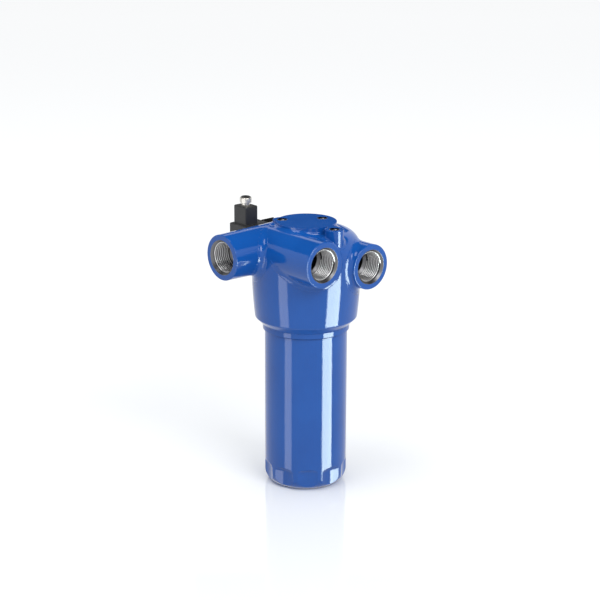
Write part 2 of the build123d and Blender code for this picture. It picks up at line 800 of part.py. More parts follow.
builders = {
    "filter_head": make_head,
    "bowl": make_bowl,
    "bowl_seal": make_bowl_seal,
    "bypass_seat": make_bypass_seat,
    "bypass_poppet": make_bypass_poppet,
    "bypass_cage": make_bypass_cage,
    "bypass_spring": make_bypass_spring,
    "element_top_cap": make_top_cap,
    "element_bottom_cap": make_bottom_cap,
    "element_media": make_media,
    "element_core": make_core,
    "element_seal": make_element_seal,
    "element_spring": make_support_spring,
    "indicator_body": make_indicator_body,
    "indicator_piston": make_indicator_piston,
    "indicator_spring": make_indicator_spring,
    "terminal_base": make_terminal_base,
    "connector_gasket": make_gasket,
    "contact_pins": make_contact_pins,
    "connector_housing": make_connector_housing,
    "terminal_block": make_terminal_block,
    "connector_screw": make_connector_screw,
    "gland_body": make_gland_body,
    "gland_nut": make_gland_nut,
    "gland_washer": make_gland_washer,
    "gland_seal": make_gland_seal,
}

os.makedirs("parts", exist_ok=True)
for node, build in builders.items():
    solid = build()
    print(f"{node}: {solid.volume:.0f} mm3")
    export_step(solid, f"parts/{node}.step")
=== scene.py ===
"""Return line filter: finishes, threads, cast blends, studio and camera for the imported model."""

import json
import logging
import math
from dataclasses import dataclass
from enum import Enum
from typing import Any, ClassVar, Sequence

import bmesh
import bpy
from mathutils import Matrix, Quaternion, Vector
from mathutils.bvhtree import BVHTree


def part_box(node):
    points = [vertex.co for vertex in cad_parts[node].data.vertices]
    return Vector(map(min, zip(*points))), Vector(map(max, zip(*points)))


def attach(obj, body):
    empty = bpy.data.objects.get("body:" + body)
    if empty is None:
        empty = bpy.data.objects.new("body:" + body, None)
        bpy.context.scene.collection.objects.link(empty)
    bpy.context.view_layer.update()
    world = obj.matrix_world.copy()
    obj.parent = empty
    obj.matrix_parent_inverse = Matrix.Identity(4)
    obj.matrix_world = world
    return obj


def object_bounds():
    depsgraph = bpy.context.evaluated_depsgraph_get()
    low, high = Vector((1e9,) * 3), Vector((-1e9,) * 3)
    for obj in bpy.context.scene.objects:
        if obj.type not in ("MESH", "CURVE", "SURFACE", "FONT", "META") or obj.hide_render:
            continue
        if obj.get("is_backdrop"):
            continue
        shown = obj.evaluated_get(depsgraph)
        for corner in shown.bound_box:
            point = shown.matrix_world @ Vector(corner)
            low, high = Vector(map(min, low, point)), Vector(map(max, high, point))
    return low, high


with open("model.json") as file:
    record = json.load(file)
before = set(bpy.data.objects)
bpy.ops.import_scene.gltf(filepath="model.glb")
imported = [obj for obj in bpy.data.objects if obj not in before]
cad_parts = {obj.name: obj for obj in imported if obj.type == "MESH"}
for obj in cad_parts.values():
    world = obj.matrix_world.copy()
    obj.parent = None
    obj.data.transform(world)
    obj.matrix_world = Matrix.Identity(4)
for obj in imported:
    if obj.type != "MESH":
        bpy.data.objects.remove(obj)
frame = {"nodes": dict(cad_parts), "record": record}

logging.basicConfig(level=logging.INFO, format="%(message)s")
log = logging.getLogger("return_filter")

MM = 0.001
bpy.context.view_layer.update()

Colour = tuple[float, float, float]
Ends = tuple[float, float]


# --- Shader kit ---------------------------------------------------------------------------
class Value:
    """A socket of a node tree that takes part in arithmetic."""

    def __init__(self, nodes: "Nodes", socket: Any) -> None:
        """Wraps one output socket of the given tree."""
        self.nodes = nodes
        self.socket = socket

    def _math(self, operation: str, other: Any) -> "Value":
        """Adds a Math node of this value and another value or number."""
        return self.nodes.value("ShaderNodeMath", {"operation": operation}, {0: self, 1: other})

    def __add__(self, other: Any) -> "Value":
        """Sum."""
        return self._math("ADD", other)

    __radd__ = __add__

    def __mul__(self, other: Any) -> "Value":
        """Product."""
        return self._math("MULTIPLY", other)

    __rmul__ = __mul__

    def __lt__(self, other: Any) -> "Value":
        """One where this value is the smaller."""
        return self._math("LESS_THAN", other)

    def __gt__(self, other: Any) -> "Value":
        """One where this value is the greater."""
        return self._math("GREATER_THAN", other)

    def largest(self, other: Any) -> "Value":
        """The greater of the two."""
        return self._math("MAXIMUM", other)


class Nodes:
    """A node tree that is built through a few methods."""

    def __init__(self, tree: bpy.types.NodeTree) -> None:
        """Takes over a tree and empties it."""
        self.tree = tree
        self.tree.nodes.clear()

    def node(
        self, kind: str, settings: dict[str, Any] | None = None, inputs: dict[Any, Any] | None = None
    ) -> bpy.types.Node:
        """Adds a node.

        Args:
            kind: the node's type.
            settings: the node's own properties, set first.
            inputs: numbers, colours or Values for its sockets, by name or number.

        Returns:
            The node.
        """
        made = self.tree.nodes.new(kind)
        for key, setting in (settings or {}).items():
            setattr(made, key, setting)
        for key, given in (inputs or {}).items():
            self.feed(made.inputs[key], given)
        return made

    def feed(self, socket: Any, given: Any) -> None:
        """Links a Value to a socket, or sets the socket.

        Args:
            socket: the input socket.
            given: a Value, or a number, vector or colour.
        """
        if isinstance(given, Value):
            self.tree.links.new(given.socket, socket)
        elif isinstance(given, tuple) and socket.type == "RGBA":
            socket.default_value = (*given, 1.0)
        else:
            socket.default_value = given

    def value(
        self, kind: str, settings: dict[str, Any] | None = None, inputs: dict[Any, Any] | None = None,
        output: int | str = 0,
    ) -> Value:
        """Adds a node and returns one of its outputs as a Value."""
        return Value(self, self.node(kind, settings, inputs).outputs[output])


class Shader(Nodes):
    """Node tree of one material with a Principled surface."""

    noise_roughness = 0.55
    bevel_samples = 6

    def __init__(self, name: str) -> None:
        """Starts the material.

        Args:
            name: the material's name.
        """
        self.material = bpy.data.materials.new(name)
        self.material.use_nodes = True
        super().__init__(self.material.node_tree)
        self.surface = self.node("ShaderNodeBsdfPrincipled")
        self.node("ShaderNodeOutputMaterial", None, {"Surface": Value(self, self.surface.outputs[0])})

    def place(self, centre: Sequence[float] = (0, 0, 0), scale: Sequence[float] = (1, 1, 1)) -> Value:
        """Object coordinates seen from a centre.

        Args:
            centre: the point that becomes the origin, in metres.
            scale: stretch along each axis.

        Returns:
            The mapped vector.
        """
        point = self.value("ShaderNodeTexCoord", output="Object")
        moved = self.value(
            "ShaderNodeVectorMath", {"operation": "SUBTRACT"}, {0: point, 1: tuple(centre)}
        )
        inputs = {"Vector": moved, "Scale": tuple(scale)}
        return self.value("ShaderNodeMapping", {"vector_type": "TEXTURE"}, inputs)

    def noise(self, place: Value, size: float, detail: float = 3.0) -> Value:
        """Noise between 0 and 1 whose features are about `size` metres wide."""
        inputs = {"Vector": place, "Scale": 1 / size, "Detail": detail, "Roughness": self.noise_roughness}
        return self.value("ShaderNodeTexNoise", {"noise_dimensions": "3D"}, inputs)

    def ramp(self, factor: Value, ends: Ends) -> Value:
        """Smooth step of a factor from 0 at the first end to 1 at the second."""
        inputs = {"Value": factor, "From Min": ends[0], "From Max": ends[1]}
        return self.value("ShaderNodeMapRange", {"interpolation_type": "SMOOTHSTEP"}, inputs)

    def blend(self, factor: Any, first: Any, second: Any) -> Value:
        """Colour mix of two colours."""
        inputs = {0: factor, 6: first, 7: second}
        return self.value("ShaderNodeMix", {"data_type": "RGBA"}, inputs, output=2)

    def lerp(self, factor: Any, first: Any, second: Any) -> Value:
        """Number between two numbers."""
        return self.value("ShaderNodeMix", {"data_type": "FLOAT"}, {0: factor, 2: first, 3: second})

    def bump(self, height: Value, depth: float, under: Value | None = None) -> Value:
        """Normal bent by a height.

        Args:
            height: the relief, 0 to 1.
            depth: the relief's depth in metres.
            under: a normal that this one is added to.

        Returns:
            The bent normal.
        """
        inputs = {"Height": height, "Distance": depth, "Strength": 1.0}
        if under is not None:
            inputs["Normal"] = under
        return self.value("ShaderNodeBump", None, inputs)

    def rounded_edges(self, radius: float) -> Value:
        """Normal that rounds sharp edges by a radius in metres."""
        return self.value("ShaderNodeBevel", {"samples": self.bevel_samples}, {"Radius": radius})

    def set(self, **sockets: Any) -> None:
        """Sets or links sockets of the Principled surface.

        Args:
            sockets: what each takes, by its name in words, such as base_color.
        """
        for key, given in sockets.items():
            name = key.replace("_", " ").title().replace("Ior", "IOR")
            self.feed(self.surface.inputs[name], given)

    def distance(self, centre: Sequence[float], axis: Vector) -> Value:
        """Distance from a straight line.

        Args:
            centre: a point of the line.
            axis: the line's direction.

        Returns:
            The distance in metres.
        """
        inputs = {0: self.place(centre), 1: tuple(axis)}
        cross = self.value("ShaderNodeVectorMath", {"operation": "CROSS_PRODUCT"}, inputs)
        return self.value("ShaderNodeVectorMath", {"operation": "LENGTH"}, {0: cross}, output="Value")

    def along(self, centre: Sequence[float], axis: Vector) -> Value:
        """How far a point lies along `axis` from `centre`."""
        inputs = {0: self.place(centre), 1: tuple(axis)}
        return self.value("ShaderNodeVectorMath", {"operation": "DOT_PRODUCT"}, inputs, output="Value")


# --- Finishes -----------------------------------------------------------------------------
@dataclass(frozen=True)
class Bore:
    """A round hole whose wall is left bare and turned, with a painted shadow outside `shade_from`."""

    centre: Vector
    axis: Vector
    radius: float
    low: float
    high: float
    shade_from: float | None = None


@dataclass(frozen=True)
class Paint:
    """Glossy enamel over a casting, with bare turned metal inside the stated bores, darkened as painted
    shade, and a painted shadow on some of their rims.
    """

    colour: Colour = (0.006, 0.078, 0.335)
    deep: Colour = (0.005, 0.069, 0.305)
    cloud_size: float = 45 * MM
    cloud_ends: Ends = (0.3, 0.7)
    peel_size: float = 1.1 * MM
    peel_depth: float = 0.012 * MM
    pit_size: float = 3.2 * MM
    pit_ends: Ends = (0.70, 0.80)
    edge: float = 0.6 * MM
    roughness: float = 0.07
    cloud_roughness: float = 0.05
    pit_roughness: float = 0.10
    gloss: float = 0.42
    # painted shade: the bores' bare metal takes this dark colour so that their walls read as shaded
    metal: Colour = (0.20, 0.20, 0.21)
    metal_low: float = 0.75
    # painted shadow colour for the rims of holes
    shadow: Colour = (0.006, 0.008, 0.020)
    turned_size: float = 4 * MM
    turned_stretch: tuple[float, float, float] = (0.08, 0.08, 0.08)
    metal_roughness: float = 0.28
    turned_roughness: float = 0.12
    bores: tuple[Bore, ...] = ()

    def material(self, name: str) -> bpy.types.Material:
        """Builds the paint.

        Args:
            name: the material's name.

        Returns:
            The material.
        """
        shader = Shader(name)
        place = shader.place()
        cloud = shader.noise(place, self.cloud_size, 2.0)
        fine = shader.noise(place, self.peel_size, 2.0)
        pits = shader.ramp(shader.noise(place, self.pit_size, 4.0), self.pit_ends)
        paint = shader.blend(shader.ramp(cloud, self.cloud_ends), self.deep, self.colour)
        rough = self.roughness + self.cloud_roughness * cloud + self.pit_roughness * pits
        normal = shader.bump(fine, self.peel_depth, shader.rounded_edges(self.edge))
        shader.set(base_color=paint, roughness=rough, normal=normal, specular_ior_level=self.gloss)
        if self.bores:
            self._bare_bores(shader, paint, rough)
        return shader.material

    def _bare_bores(self, shader: Shader, paint: Value, rough: Value) -> None:
        """Turns the walls of the bores to bare metal, darkened as painted shade, with a painted shadow on
        the shaded rims.

        Args:
            shader: the paint's shader.
            paint: the paint's colour.
            rough: the paint's roughness.
        """
        bare = self._mask(shader, shaded=False)
        turned = shader.noise(shader.place(scale=self.turned_stretch), self.turned_size)
        metal = shader.blend(turned, tuple(self.metal_low * c for c in self.metal), self.metal)
        # painted shadow: the rims outside shade_from take the shadow colour
        metal = shader.blend(self._mask(shader, shaded=True), metal, self.shadow)
        shader.set(
            base_color=shader.blend(bare, paint, metal),
            metallic=bare,
            roughness=shader.lerp(bare, rough, self.metal_roughness + self.turned_roughness * turned),
        )

    def _mask(self, shader: Shader, shaded: bool) -> Value | float:
        """Mask of the bores.

        Args:
            shader: the paint's shader.
            shaded: keeps only the rims that take the painted shadow.

        Returns:
            One inside the bores.
        """
        mask = 0.0
        for bore in self.bores:
            if shaded and bore.shade_from is None:
                continue
            reach = shader.distance(bore.centre, bore.axis)
            inside = reach < bore.radius
            if shaded:
                inside = inside * (reach > bore.shade_from)
            depth = shader.along(bore.centre, bore.axis)
            part = inside * (depth > bore.low) * (depth < bore.high)
            mask = part.largest(mask)
        return mask


@dataclass(frozen=True)
class Metal:
    """Bare or plated metal with turned rings, fine scratches and a little soiling."""

    colour: Colour
    roughness: float = 0.28
    stretch: Sequence[float] = (1, 1, 1)
    grain_size: float = 0.6 * MM
    grain_depth: float = 0.012 * MM
    grain_roughness: float = 0.06
    cloud_size: float = 12 * MM
    cloud_roughness: float = 0.14
    soil: float = 0.35
    soil_ends: Ends = (0.55, 0.85)
    soil_cover: float = 0.5
    edge: float = 0.25 * MM

    def material(self, name: str) -> bpy.types.Material:
        """Builds the metal.

        Args:
            name: the material's name.

        Returns:
            The material.
        """
        shader = Shader(name)
        grain = shader.noise(shader.place(scale=self.stretch), self.grain_size)
        cloud = shader.noise(shader.place(), self.cloud_size, 4.0)
        dark = tuple(self.soil * c for c in self.colour)
        stain = shader.ramp(cloud, self.soil_ends)
        shader.set(
            base_color=shader.blend(stain * self.soil_cover, self.colour, dark),
            metallic=1.0,
            roughness=self.roughness + self.cloud_roughness * cloud + self.grain_roughness * grain,
            normal=shader.bump(grain, self.grain_depth, shader.rounded_edges(self.edge)),
        )
        return shader.material


@dataclass(frozen=True)
class Moulded:
    """Moulded plastic or rubber with a fine spark-eroded grain."""

    colour: Colour
    roughness: float = 0.45
    worn: float = 1.5
    worn_ends: Ends = (0.45, 0.8)
    cloud_size: float = 9 * MM
    cloud_roughness: float = 0.12
    grain_size: float = 0.5 * MM
    grain_depth: float = 0.02 * MM
    grain_roughness: float = 0.05
    edge: float = 0.4 * MM
    sheen: float = 0.0

    def material(self, name: str) -> bpy.types.Material:
        """Builds the moulded finish.

        Args:
            name: the material's name.

        Returns:
            The material.
        """
        shader = Shader(name)
        place = shader.place()
        grain = shader.noise(place, self.grain_size)
        cloud = shader.noise(place, self.cloud_size, 4.0)
        pale = tuple(self.worn * c for c in self.colour)
        shader.set(
            base_color=shader.blend(shader.ramp(cloud, self.worn_ends), self.colour, pale),
            roughness=self.roughness + self.cloud_roughness * cloud + self.grain_roughness * grain,
            normal=shader.bump(grain, self.grain_depth, shader.rounded_edges(self.edge)),
            sheen_weight=self.sheen,
        )
        return shader.material


@dataclass(frozen=True)
class FilterPaper:
    """Resin-stiffened glass-fibre paper with crossing fibres."""

    colour: Colour = (0.78, 0.74, 0.62)
    shade: Colour = (0.60, 0.55, 0.42)
    fibre_size: float = 0.4 * MM
    fibre_depth: float = 0.06 * MM
    upright: tuple[float, float, float] = (1, 1, 9)
    level: tuple[float, float, float] = (7, 7, 1)
    fibre_gain: float = 2.0
    fibre_share: float = 0.4
    cloud_size: float = 6 * MM
    cloud_roughness: float = 0.1
    shade_ends: Ends = (0.4, 0.9)
    roughness: float = 0.82

    def material(self, name: str) -> bpy.types.Material:
        """Builds the paper.

        Args:
            name: the material's name.

        Returns:
            The material.
        """
        shader = Shader(name)
        upright = shader.noise(shader.place(scale=self.upright), self.fibre_size)
        level = shader.noise(shader.place(scale=self.level), self.fibre_size)
        cloud = shader.noise(shader.place(), self.cloud_size)
        fibre = upright * level * self.fibre_gain
        tone = shader.ramp(cloud + fibre * self.fibre_share, self.shade_ends)
        shader.set(
            base_color=shader.blend(tone, self.shade, self.colour),
            roughness=self.roughness + self.cloud_roughness * cloud,
            normal=shader.bump(fibre, self.fibre_depth),
        )
        return shader.material


class Finish(Enum):
    """The finishes that more than one piece can take, by the name of their material."""

    ENAMEL = "blue_enamel"
    CUT_THREAD = "cut_thread"
    STEEL = "turned_steel"
    SPRING = "spring_wire"
    ZINC = "zinc_sheet"
    DARK = "dark_plated"
    NICKEL = "nickel_plate"
    RUBBER = "black_rubber"
    BLACK = "black_plastic"
    GREY = "grey_plastic"
    PAPER = "filter_paper"


class Slot(Enum):
    """Material slots of the record, by name."""

    BLUE_PAINT = "blue_paint"
    STEEL = "steel"


RECIPES: dict[Finish, Paint | Metal | Moulded | FilterPaper] = {
    Finish.ENAMEL: Paint(),
    Finish.CUT_THREAD: Metal((0.68, 0.68, 0.69), roughness=0.2),
    Finish.STEEL: Metal((0.56, 0.57, 0.58), stretch=(1, 1, 12)),
    Finish.SPRING: Metal((0.42, 0.42, 0.43), roughness=0.32),
    Finish.ZINC: Metal((0.66, 0.67, 0.66), roughness=0.36),
    Finish.DARK: Metal((0.035, 0.035, 0.038), roughness=0.4, stretch=(12, 1, 1)),
    Finish.NICKEL: Metal((0.60, 0.58, 0.54), roughness=0.22),
    Finish.RUBBER: Moulded((0.014, 0.014, 0.015), roughness=0.55, sheen=0.05),
    Finish.BLACK: Moulded((0.020, 0.020, 0.021), roughness=0.38),
    Finish.GREY: Moulded((0.20, 0.20, 0.21), roughness=0.42),
    Finish.PAPER: FilterPaper(),
}


class Finishes:
    """The materials in use, each made once."""

    def __init__(self) -> None:
        """Starts with none made."""
        self._made: dict[Finish, bpy.types.Material] = {}

    def __getitem__(self, finish: Finish) -> bpy.types.Material:
        """Gives the material of a finish and makes it at its first use.

        Args:
            finish: the finish.

        Returns:
            The material.
        """
        if finish not in self._made:
            self._made[finish] = RECIPES[finish].material(finish.value)
        return self._made[finish]


# --- Mesh kit -----------------------------------------------------------------------------
def make_piece(name: str, mesh: bmesh.types.BMesh, material: bpy.types.Material) -> bpy.types.Object:
    """Turns a finished bmesh into an object at the origin.

    Args:
        name: the piece's name.
        mesh: the finished bmesh, which is freed.
        material: its only material.

    Returns:
        The object.
    """
    data = bpy.data.meshes.new(name)
    mesh.to_mesh(data)
    mesh.free()
    data.shade_smooth()
    data.materials.append(material)
    piece = bpy.data.objects.new(name, data)
    bpy.context.scene.collection.objects.link(piece)
    return piece


def stand(mesh: bmesh.types.BMesh, point: Vector, axis: Vector) -> None:
    """Moves a shape built round +Z so that it stands at a point along an axis."""
    turn = axis.to_track_quat("Z", "Y").to_matrix().to_4x4()
    bmesh.ops.transform(mesh, matrix=Matrix.Translation(point) @ turn, verts=mesh.verts)


def dress(node: str, material: bpy.types.Material) -> None:
    """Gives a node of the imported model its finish.

    Args:
        node: the node's name.
        material: its only material.
    """
    data = frame["nodes"][node].data
    data.materials.clear()
    data.materials.append(material)
    log.info("dressed %s", node)


def heading(azimuth: float, elevation: float) -> Vector:
    """Unit vector from the filter towards an azimuth and elevation in degrees."""
    a, e = math.radians(azimuth), math.radians(elevation)
    return Vector((math.sin(a) * math.cos(e), -math.cos(a) * math.cos(e), math.sin(e)))


@dataclass(frozen=True)
class Hole:
    """A threaded hole of the record: its point, its outward axis and its radius."""

    name: str
    point: Vector
    axis: Vector
    radius: float

    @classmethod
    def read(cls, name: str) -> "Hole":
        """Reads a mount of the record.

        Args:
            name: the mount's name.

        Returns:
            The hole, in metres.
        """
        found = next(m for m in frame["record"]["mounts"] if m["name"] == name)
        axis = Vector(found["axis"]).normalized()
        return cls(name, Vector(found["pos_m"]), axis, found["dims"]["r_mm"] * MM)


# --- Head ---------------------------------------------------------------------------------
@dataclass(frozen=True)
class ThreadForm:
    """An internal thread: a V-shaped ridge that winds down the wall of a bore."""

    pitch: float
    depth: float
    turns: float
    start: float
    root: float = 0.47
    crest: float = 0.10
    steps: int = 48
    sink: float = 0.06 * MM

    def build(self, hole: Hole, mouth: float) -> bmesh.types.BMesh:
        """Winds the ridge from its first turn near the mouth inwards.

        Args:
            hole: the hole that it lines.
            mouth: how far the hole's face lies from its point.

        Returns:
            The ridge, closed at both ends.
        """
        mesh = bmesh.new()
        half_root = self.root * self.pitch
        half_crest = self.crest * self.pitch
        outer = hole.radius + self.sink
        inner = hole.radius - self.depth
        corners = [(outer, -half_root), (outer, half_root), (inner, half_crest), (inner, -half_crest)]
        section = mesh.faces.new([mesh.verts.new((r, 0, z)) for r, z in corners])
        count = round(self.turns * self.steps)
        bmesh.ops.spin(
            mesh, geom=[section, *section.edges, *section.verts], cent=(0, 0, 0), axis=(0, 0, 1),
            dvec=(0, 0, -self.turns * self.pitch / count), angle=math.tau * self.turns, steps=count,
        )
        bmesh.ops.recalc_face_normals(mesh, faces=mesh.faces)
        stand(mesh, hole.point + hole.axis * (mouth - self.start - self.pitch / 2), hole.axis)
        return mesh


@dataclass
class Head:
    """Painted casting with its three ports, its mounting pad and the blends between them."""

    port_thread: ThreadForm = ThreadForm(2.309 * MM, 1.0 * MM, 8.0, 1.4 * MM)
    port_mouth: float = 17.35 * MM
    port_bare_length: float = 70 * MM
    port_reach: float = 100 * MM
    port_clear: float = 21.5 * MM
    pad_thread: ThreadForm = ThreadForm(1.25 * MM, 0.55 * MM, 6.0, 1.9 * MM)
    pad_mouth: float = 5.25 * MM
    # radius beyond which the pad's holes take a painted shadow
    pad_shade: float = 4.1 * MM
    pad_bare_length: float = 12 * MM
    pad_reach: float = 10 * MM
    pad_clear: float = 6.2 * MM
    pad_depth: float = 13 * MM
    bowl_bore: float = 42.9 * MM
    bowl_bore_start: float = 0.5 * MM
    bowl_bore_end: float = 66 * MM
    inside: float = 44 * MM
    merge_gap: float = 0.001 * MM
    voxel: float = 1.1 * MM
    smoothing: int = 24
    smoothing_share: float = 0.5
    proud: float = 0.03 * MM
    skin: float = 0.8 * MM

    node: ClassVar[str] = "filter_head"
    body: ClassVar[str] = "head"
    port_names: ClassVar[tuple[str, ...]] = ("port_centre", "port_right", "port_left")
    pad_names: ClassVar[tuple[str, ...]] = ("pad_hole_1", "pad_hole_2", "pad_hole_3")

    def __post_init__(self) -> None:
        """Reads the ports, the pad's holes and the casting's box."""
        self.ports = [Hole.read(name) for name in self.port_names]
        self.pad_holes = [Hole.read(name) for name in self.pad_names]
        self.low, self.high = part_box(self.node)

    def dress(self) -> None:
        """Gives the casting its paint, with its machined bores left bare."""
        dress(self.node, Paint(bores=self._bores()).material("blue_enamel_head"))

    def threads(self, metal: bpy.types.Material) -> list[bpy.types.Object]:
        """Cuts the visible threads of the ports and of the holes in the pad.

        Args:
            metal: the finish of a cut thread.

        Returns:
            One piece for each thread.
        """
        pieces = []
        for holes, form in ((self.ports, self.port_thread), (self.pad_holes, self.pad_thread)):
            for hole in holes:
                mesh = form.build(hole, self._mouth(hole))
                pieces.append(self._fix("thread_" + hole.name, mesh, metal))
        return pieces

    def blends(self, paint: bpy.types.Material) -> bpy.types.Object:
        """Rounds the casting's inner corners with a skin that stands proud only in them.

        Args:
            paint: the casting's paint.

        Returns:
            The skin as one piece.
        """
        source = bmesh.new()
        source.from_mesh(frame["nodes"][self.node].data)
        bmesh.ops.remove_doubles(source, verts=source.verts, dist=self.merge_gap)
        tree = BVHTree.FromBMesh(source)
        skin = self._even(source)
        hidden = [v for v in skin.verts if not self._outside(v.co)]
        bmesh.ops.delete(skin, geom=hidden, context="VERTS")
        for _ in range(self.smoothing):
            bmesh.ops.smooth_vert(
                skin, verts=skin.verts, factor=self.smoothing_share,
                use_axis_x=True, use_axis_y=True, use_axis_z=True,
            )
        for vert in skin.verts:
            spot, normal, _, _ = tree.find_nearest(vert.co)
            vert.tag = (vert.co - spot).dot(normal) > self.proud
        buried = [f for f in skin.faces if not any(v.tag for v in f.verts)]
        bmesh.ops.delete(skin, geom=buried, context="FACES")
        skin.normal_update()
        bmesh.ops.solidify(skin, geom=skin.faces, thickness=self.skin)
        bmesh.ops.recalc_face_normals(skin, faces=skin.faces)
        return self._fix("head_blends", skin, paint)

    def _bores(self) -> tuple[Bore, ...]:
        """The casting's machined bores.

        Returns:
            The ports, the pad's holes and the bore that takes the bowl.
        """
        found = [
            Bore(port.point, port.axis, self.port_mouth, -self.port_bare_length, self.port_reach)
            for port in self.ports
        ]
        found += [
            Bore(
                hole.point, hole.axis, self.pad_mouth, -self.pad_bare_length, self.pad_reach,
                self.pad_shade,
            )
            for hole in self.pad_holes
        ]
        foot = Vector((0, 0, self.low.z))
        up = Vector((0, 0, 1))
        found.append(Bore(foot, up, self.bowl_bore, self.bowl_bore_start, self.bowl_bore_end))
        return tuple(found)

    def _mouth(self, hole: Hole) -> float:
        """How far the casting's face at a hole lies from the hole's point."""
        face = self.high if hole.axis.z > 0 else self.low
        return abs((face - hole.point).dot(hole.axis))

    def _fix(
        self, name: str, mesh: bmesh.types.BMesh, material: bpy.types.Material
    ) -> bpy.types.Object:
        """Makes a piece that rides on the head.

        Args:
            name: the piece's name.
            mesh: its finished bmesh.
            material: its only material.

        Returns:
            The piece.
        """
        piece = make_piece(name, mesh, material)
        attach(piece, self.body)
        return piece

    def _even(self, source: bmesh.types.BMesh) -> bmesh.types.BMesh:
        """Copies a closed shape in small even faces.

        Args:
            source: the shape, which is freed.

        Returns:
            The even copy.
        """
        data = bpy.data.meshes.new("blend_source")
        source.to_mesh(data)
        source.free()
        holder = bpy.data.objects.new("blend_source", data)
        bpy.context.scene.collection.objects.link(holder)
        remesh = holder.modifiers.new("even", "REMESH")
        remesh.mode = "VOXEL"
        remesh.voxel_size = self.voxel
        bpy.context.view_layer.update()
        graph = bpy.context.evaluated_depsgraph_get()
        even = bpy.data.meshes.new_from_object(holder.evaluated_get(graph))
        bpy.data.objects.remove(holder)
        bpy.data.meshes.remove(data)
        skin = bmesh.new()
        skin.from_mesh(even)
        bpy.data.meshes.remove(even)
        return skin

    def _outside(self, point: Vector) -> bool:
        """Tells whether the blends' skin may lie at a point.

        Args:
            point: the point.

        Returns:
            True on the casting's outside, away from its ports and holes.
        """
        if math.hypot(point.x, point.y) < self.inside and point.z < self.high.z - self.pad_depth:
            return False
        kinds = ((self.ports, self.port_clear), (self.pad_holes, self.pad_clear))
        return all(
            (point - hole.point).cross(hole.axis).length > clear
            for holes, clear in kinds
            for hole in holes
        )


# --- Other sub-assemblies -----------------------------------------------------------------
class SubAssembly:
    """Nodes that belong together and keep their own shapes, with the finish of each."""

    finish_of: ClassVar[dict[str, Finish]] = {}

    def dress(self, finishes: Finishes) -> None:
        """Gives each node its finish."""
        for node, finish in self.finish_of.items():
            dress(node, finishes[finish])


class Bowl(SubAssembly):
    """Screw-on bowl and its seal."""

    finish_of = {"bowl": Finish.ENAMEL, "bowl_seal": Finish.RUBBER}


class BypassValve(SubAssembly):
    """Spring-loaded valve inside the head."""

    finish_of = {
        "bypass_seat": Finish.STEEL,
        "bypass_poppet": Finish.STEEL,
        "bypass_cage": Finish.STEEL,
        "bypass_spring": Finish.SPRING,
    }


class FilterElement(SubAssembly):
    """Pleated cartridge inside the bowl."""

    finish_of = {
        "element_top_cap": Finish.ZINC,
        "element_bottom_cap": Finish.ZINC,
        "element_media": Finish.PAPER,
        "element_core": Finish.STEEL,
        "element_seal": Finish.RUBBER,
        "element_spring": Finish.SPRING,
    }


class ClogIndicator(SubAssembly):
    """Pressure indicator at the back of the head."""

    finish_of = {
        "indicator_body": Finish.DARK,
        "indicator_piston": Finish.STEEL,
        "indicator_spring": Finish.SPRING,
        "terminal_base": Finish.BLACK,
        "contact_pins": Finish.NICKEL,
    }


class Connector(SubAssembly):
    """Square plug on the indicator."""

    finish_of = {
        "connector_gasket": Finish.RUBBER,
        "connector_housing": Finish.BLACK,
        "terminal_block": Finish.GREY,
        "connector_screw": Finish.STEEL,
    }


class CableGland(SubAssembly):
    """Plated gland on top of the plug."""

    finish_of = {
        "gland_body": Finish.NICKEL,
        "gland_washer": Finish.STEEL,
        "gland_nut": Finish.NICKEL,
        "gland_seal": Finish.RUBBER,
    }


# --- Studio -------------------------------------------------------------------------------
@dataclass(frozen=True)
class SoftBox:
    """A rectangular light that faces the filter's middle from one side of the camera."""

    name: str
    turn: float
    elevation: float
    distance: float
    width: float
    height: float
    watts: float
    colour: Colour = (1.0, 1.0, 1.0)

    def hang(self, azimuth: float) -> None:
        """Adds the light.

        Args:
            azimuth: the camera's azimuth in degrees.
        """
        low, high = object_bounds()
        back = heading(azimuth + self.turn, self.elevation)
        data = bpy.data.lights.new(self.name, "AREA")
        data.shape = "RECTANGLE"
        data.size = self.width
        data.size_y = self.height
        data.energy = self.watts
        data.color = self.colour
        lamp = bpy.data.objects.new(self.name, data)
        bpy.context.scene.collection.objects.link(lamp)
        lamp.location = (low + high) / 2 + back * self.distance
        lamp.rotation_mode = "QUATERNION"
        lamp.rotation_quaternion = (-back).to_track_quat("-Z", "Y")


